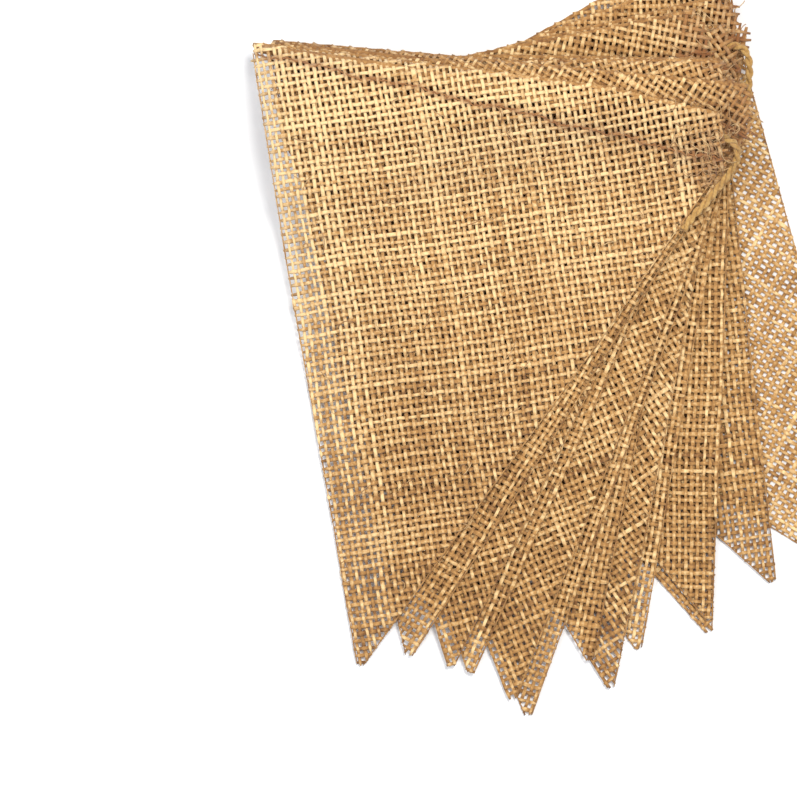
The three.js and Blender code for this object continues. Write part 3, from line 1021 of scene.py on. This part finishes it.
# %% Stitches and loose fibres
STITCH_STEP = 1.7
STITCH_RADIUS = 0.24
STITCH_HEIGHT = 0.22
STITCH_DIP = 0.42
STITCH_WANDER = 0.24
STITCH_TONE = 0.5
STITCH_BROWNS = (0.7, 1.0)
STITCH_SIDES = 4
FIBRE_STATIONS = 6
FIBRE_RADIUS = 0.09
FIBRE_CURL = 0.5
FIBRE_STEPS = (0.6, 1.4)
FIBRE_HEIGHT = 0.35
FIBRE_ARCH = 0.25
FIBRE_TONES = (0.55, 0.95)
FIBRE_BROWNS = (0.1, 0.7)
FIBRE_SIDES = 3
MOUTH_REACH = 9
MOUTH_BELOW = 6
NEAREST_THE_POINT = 0.02


def add_stitches(p, yarns, chance):
    u = np.arange(-p["left"] + 1, p["end"] - 0.5, STITCH_STEP / 2)
    v = seam_wander(p, u) + chance.normal(0, STITCH_WANDER, len(u))
    x, y = to_plan(p, u, v)
    dip = STITCH_DIP * np.cos(u / STITCH_STEP * math.pi)
    middle = np.column_stack([x, y, cloth_height(p, x, y) + STITCH_HEIGHT + dip])
    radius = np.full(len(x), STITCH_RADIUS)
    tone = np.full(len(x), STITCH_TONE)
    shade_and_brown = chance.uniform(*STITCH_BROWNS, len(x))
    side = up_the_pennant(p, len(x))
    yarns.add(middle, side, radius, radius, tone, shade_and_brown, STITCH_SIDES)


def at_the_mouth(p, chance):
    v = chance.uniform(-MOUTH_BELOW, CASING_DEPTH)
    return p["end"] - MOUTH_REACH * abs(chance.normal()), v


def on_the_cloth(p, chance):
    share = math.sqrt(chance.uniform(NEAREST_THE_POINT, 1.0))
    reach = chance.uniform(0, p["left"] + p["right"]) * share
    return p["right"] * share - reach, (share - 1) * p["drop"]


def add_fibres(p, yarns, chance, count, place):
    for _ in range(count):
        u, v = place(p, chance)
        turn, curl = chance.uniform(0, 2 * math.pi), chance.normal(0, FIBRE_CURL)
        angle = turn + curl * np.arange(FIBRE_STATIONS)
        step = chance.uniform(*FIBRE_STEPS)
        x, y = to_plan(p, u + np.cumsum(np.cos(angle)) * step, v + np.cumsum(np.sin(angle)) * step)
        rise = FIBRE_HEIGHT + FIBRE_ARCH * np.sin(np.linspace(0, math.pi, FIBRE_STATIONS))
        middle = np.column_stack([x, y, cloth_height(p, x, y) + rise])
        side = np.column_stack([-np.sin(angle), np.cos(angle), np.zeros(FIBRE_STATIONS)])
        radius = np.full(FIBRE_STATIONS, FIBRE_RADIUS)
        tone = np.full(FIBRE_STATIONS, chance.uniform(*FIBRE_TONES))
        shade_and_brown = np.full(FIBRE_STATIONS, chance.uniform(*FIBRE_BROWNS))
        yarns.add(middle, side, radius, radius, tone, shade_and_brown, FIBRE_SIDES)


print("stitch length in mm:", 2 * STITCH_STEP)

# %% [markdown]
# ## A whole pennant
# The cloth, the hem's second layer and everything on its edges are laid one after another into one mesh.
# Each pennant has a chance of its own, set by a number, so it comes out the same every time.

# %% One pennant's yarns
FIRST_SEED = 100
FRONT_SIDES = 5
OTHER_SIDES = 4
FLAP_CRIMP = 0.6
FRONT_FIBRES = 60
OTHER_FIBRES = 8


def weave(p, index):
    in_front = index == 0
    chance = np.random.RandomState(FIRST_SEED + index)
    grid = crossing_grid(p, chance)
    yarns = YarnMesh()
    upper = (FRONT_SIDES if in_front else OTHER_SIDES, in_front, layer_rise)
    weave_layer(p, yarns, grid, p["outline"], CRIMP, upper, chance)
    weave_layer(p, yarns, grid, flap_outline(p), FLAP_CRIMP * CRIMP, (OTHER_SIDES, False, flap_rise), chance)
    add_fold(p, yarns, chance)
    add_cut_edges(p, yarns, chance)
    add_core(p, yarns, chance)
    add_stitches(p, yarns, chance)
    add_fibres(p, yarns, chance, FRONT_FIBRES if in_front else OTHER_FIBRES, at_the_mouth)
    if in_front:
        add_fibres(p, yarns, chance, FRONT_FIBRES, on_the_cloth)
    return yarns


print("sides of a yarn in front and behind:", FRONT_SIDES, OTHER_SIDES)

# %% [markdown]
# ## The twine
# The twine that threads the pennants shows in two short lengths at the right-hand corners. Its routes are
# the same as those of the solids, in millimetres of the plan. A curve through the chosen points keeps the
# bends round, because it heeds the neighbours of the two points that it joins.

# %% Routes of the twine
ROUTE_STEP = 0.6
FRONT_TWINE = [
    (109.5, 163.6, 32.9), (111.4, 163.1, 32.8), (115.7, 160.5, 29.0), (116.1, 156.2, 26.2),
    (113.6, 151.5, 23.5), (109.9, 146.9, 21.0), (106.8, 142.9, 19.8), (104.2, 140.4, 19.8),
    (102.2, 138.0, 19.8), (99.9, 134.6, 19.8),
]
LOOP_TWINE = [
    (112.5, 191.3, 16.6), (114.4, 191.7, 16.6), (118.0, 190.9, 16.8), (119.8, 188.2, 17.0),
    (120.3, 184.6, 17.2), (120.1, 180.3, 17.4), (119.9, 176.6, 17.7), (119.3, 173.4, 17.9),
    (116.0, 172.4, 18.1), (114.0, 172.3, 18.1),
]


def curve_between(a, b, c, d, f):
    """The place at share f of the way from b to c, with a before them and d after them."""
    straight = 2 * b + (c - a) * f
    bend = (2 * a - 5 * b + 4 * c - d) * f**2
    turn = (3 * b - a - 3 * c + d) * f**3
    return 0.5 * (straight + bend + turn)


def twine_route(points):
    points = np.array(points, float)
    padded = np.vstack([2 * points[0] - points[1], points, 2 * points[-1] - points[-2]])
    line = []
    for k in range(1, len(padded) - 2):
        a, b, c, d = padded[k - 1 : k + 3]
        pieces = max(2, int(np.linalg.norm(c - b) / ROUTE_STEP))
        line += [curve_between(a, b, c, d, f) for f in np.arange(pieces) / pieces]
    return np.array([*line, points[-1]])


for route in (FRONT_TWINE, LOOP_TWINE):
    print("twine length in mm:", round(float(length_along(twine_route(route))[-1]), 1))

# %% [markdown]
# The twine is two plies of jute twisted together. A twisted texture on one tube would have a smooth
# outline, so each length is made of two thick yarns instead, which wind round the same middle line.

# %% Two-ply twine
TWINE_DIAMETER = 2.4
PLY_TURN = 7.0
PLY_SIDES = 8
PLY_SPREAD = 1.08
TWINE_TONE = 0.5
TWINE_TONE_SPREAD = 0.06
TWINE_SEED = 7


def lay_twine(name, points):
    line = twine_route(points)
    tangent = unit(np.gradient(line, axis=0))
    side = unit(np.cross(tangent, np.array([0.0, 0.0, 1.0])))
    lift = np.cross(side, tangent)
    chance = np.random.RandomState(TWINE_SEED)
    yarns = YarnMesh()
    for ply in range(2):
        angle = length_along(line) / PLY_TURN * 2 * math.pi + ply * math.pi
        offset = TWINE_DIAMETER / 4
        middle = line + side * (offset * np.cos(angle))[:, None] + lift * (offset * np.sin(angle))[:, None]
        radius = np.full(len(line), offset * PLY_SPREAD)
        tone = TWINE_TONE + chance.normal(0, TWINE_TONE_SPREAD, len(line))
        yarns.add(middle, side, radius, radius, tone, np.zeros(len(line)), PLY_SIDES)
    yarns.build(name + "_plies", jute_twine, "jute_twine", name)


lay_twine("twine_front", FRONT_TWINE)
lay_twine("twine_loop", LOOP_TWINE)

# %% [markdown]
# ## Weave all thirteen
# The front pennant fills most of the picture, so its yarns have more sides and a station between
# crossings. The others show as strips, and rings at the crossings alone are enough for them.

# %% Pennants' cloth


for index, p in enumerate(pennants):
    cloth = weave(p, index).build(p["name"] + "_cloth", jute_cloth, "jute_cloth", p["name"])

# %% [markdown]
# ## The surface
# The stack lies on a plain white surface that runs out of the picture on all sides.

# %% Floor
FLOOR_SIZE = 6.0
FLOOR_GAP = 0.0002
FLOOR_WHITE = (0.93, 0.935, 0.95)
half = FLOOR_SIZE / 2
floor_corners = [(-half, -half, 0), (half, -half, 0), (half, half, 0), (-half, half, 0)]
floor_mesh = bpy.data.meshes.new("floor")
floor_mesh.from_pydata(floor_corners, [], [(0, 1, 2, 3)])
floor = bpy.data.objects.new("floor", floor_mesh)
floor.location.z = -FLOOR_GAP
bpy.context.scene.collection.objects.link(floor)
floor_material = bpy.data.materials.new("white_card")
floor_material.use_nodes = True
floor_shader = floor_material.node_tree.nodes["Principled BSDF"]
floor_shader.inputs["Base Color"].default_value = (*FLOOR_WHITE, 1)
floor_shader.inputs["Roughness"].default_value = 0.9
floor_mesh.materials.append(floor_material)
print("floor in m:", FLOOR_SIZE)

# %% [markdown]
# ## Light
# The shadows in the photograph are soft and lie to the left of the stack and below its points, so the main
# light is a large one from the upper right, and pale light comes from everywhere else.

# %% Lights
ROOM_TINT = (0.93, 0.96, 1.0)
ROOM_STRENGTH = 0.55


def soft_light(name, place, size, power, tint):
    data = bpy.data.lights.new(name, "AREA")
    data.shape = "DISK"
    data.size = size
    data.energy = power
    data.color = tint
    light = bpy.data.objects.new(name, data)
    light.location = place
    light.rotation_euler = (-Vector(place)).to_track_quat("-Z", "Y").to_euler()
    bpy.context.scene.collection.objects.link(light)
    print(name, "at", place)


soft_light("main_light", place=(0.24, 0.42, 1.60), size=0.45, power=21, tint=(1.0, 0.97, 0.92))
soft_light("fill_light", place=(-0.9, -0.2, 1.5), size=1.2, power=12, tint=(0.95, 0.97, 1.0))
world = bpy.data.worlds.new("pale_room")
world.use_nodes = True
world.node_tree.nodes["Background"].inputs["Color"].default_value = (*ROOM_TINT, 1)
world.node_tree.nodes["Background"].inputs["Strength"].default_value = ROOM_STRENGTH
bpy.context.scene.world = world

# %% [markdown]
